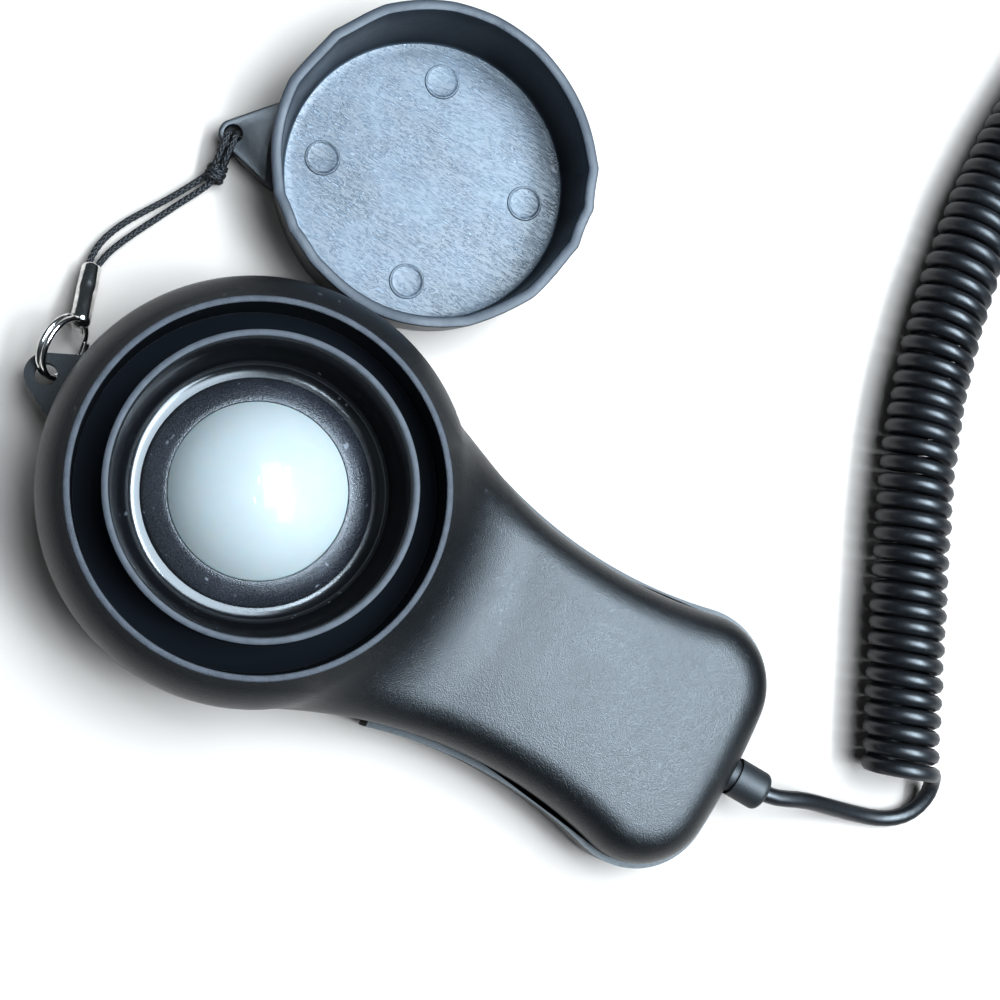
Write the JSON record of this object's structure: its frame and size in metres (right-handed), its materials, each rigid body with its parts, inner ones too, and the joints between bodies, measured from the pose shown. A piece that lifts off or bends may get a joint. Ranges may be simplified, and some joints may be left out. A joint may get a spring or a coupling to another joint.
{
  "type": "light meter sensor head",
  "caption": "Handheld light-meter sensor head with recessed opal dome, waisted grip, curly lead with jack plug, and a dust cap tethered by a cord.",
  "frame": {"origin": "centre of the head on the flat rear face, under the dome", "axes": "+Z is the dome's optical axis, +X runs along the grip to the cable gland, the cap lies on the +Y side"},
  "size_m": [0.1516, 0.1666, 0.0241],
  "materials": {
    "front_shell": "satin black, fine moulded grain",
    "rear_shell": "satin black",
    "grip_shell": "semi-gloss black",
    "label": "blank grey film",
    "bezel": "gloss black bowl, matt grey lip",
    "lock_ring": "matt black",
    "opal": "gloss opal white",
    "gasket": "matt black",
    "seat_ring": "rough speckled dark grey",
    "holder": "matt black",
    "filter_glass": "polished green filter glass",
    "board": "green solder mask",
    "diode": "dark clear epoxy",
    "header": "ivory nylon",
    "screw_steel": "zinc plated",
    "clamp": "black nylon",
    "gland_rubber": "matt black rubber",
    "lead_jacket": "semi-gloss black elastomer",
    "core_red": "red insulation",
    "core_black": "black insulation",
    "plug_body": "satin black",
    "plug_metal": "nickel plated",
    "plug_insulator": "black",
    "cap_plastic": "dull black soft plastic, brushed floor",
    "chrome": "bright chrome",
    "braid": "black round braid"
  },
  "bodies": {
    "sensor_head": {"bezel_bowl": "bezel", "bezel_lock_ring": "lock_ring", "board_header": "header", "board_screws": "screw_steel", "cable_gland": "gland_rubber", "clamp_screws": "screw_steel", "cord_clamp": "clamp", "cord_coil": "lead_jacket", "cord_far_tail": "lead_jacket", "cord_tail": "lead_jacket", "cover_screws": "screw_steel", "detector_board": "board", "dome_diffuser": "opal", "dome_gasket": "gasket", "filter_holder": "holder", "front_housing": "front_shell", "grip_cover": "grip_shell", "housing_screws": "screw_steel", "photodiode": "diode", "photopic_filter": "filter_glass", "plug_boot": "lead_jacket", "plug_grip": "plug_body", "plug_insulator": "plug_insulator", "plug_sleeve": "plug_metal", "plug_tip": "plug_metal", "rear_housing": "rear_shell", "rear_label": "label", "seat_ring": "seat_ring", "sensor_lead_black": "core_black", "sensor_lead_red": "core_red"},
    "split_ring": {"split_ring": "chrome"},
    "strap": {"strap_crimp": "chrome", "lanyard_strand_outer": "braid", "lanyard_strand_inner": "braid"},
    "cap": {"dust_cap": "cap_plastic", "lanyard_loop": "braid", "lanyard_knot": "braid"}
  },
  "joints": [
    {"name": "ring_swing", "type": "hinge", "parent": "sensor_head", "child": "split_ring", "pos_m": [-0.0335, 0, 0.0056], "axis": [0, 0, 1], "range_deg": [0, 60]},
    {"name": "strap_swing", "type": "hinge", "parent": "split_ring", "child": "strap", "pos_m": [-0.0335, 0.0092, 0.0056], "axis": [0, 0, 1], "range_deg": [0, 30]},
    {"name": "cap_tip", "type": "hinge", "parent": "strap", "child": "cap", "pos_m": [-0.0286, 0.03844, 0.0022], "axis": [0, -1, 0], "range_deg": [0, 95]}
  ]
}
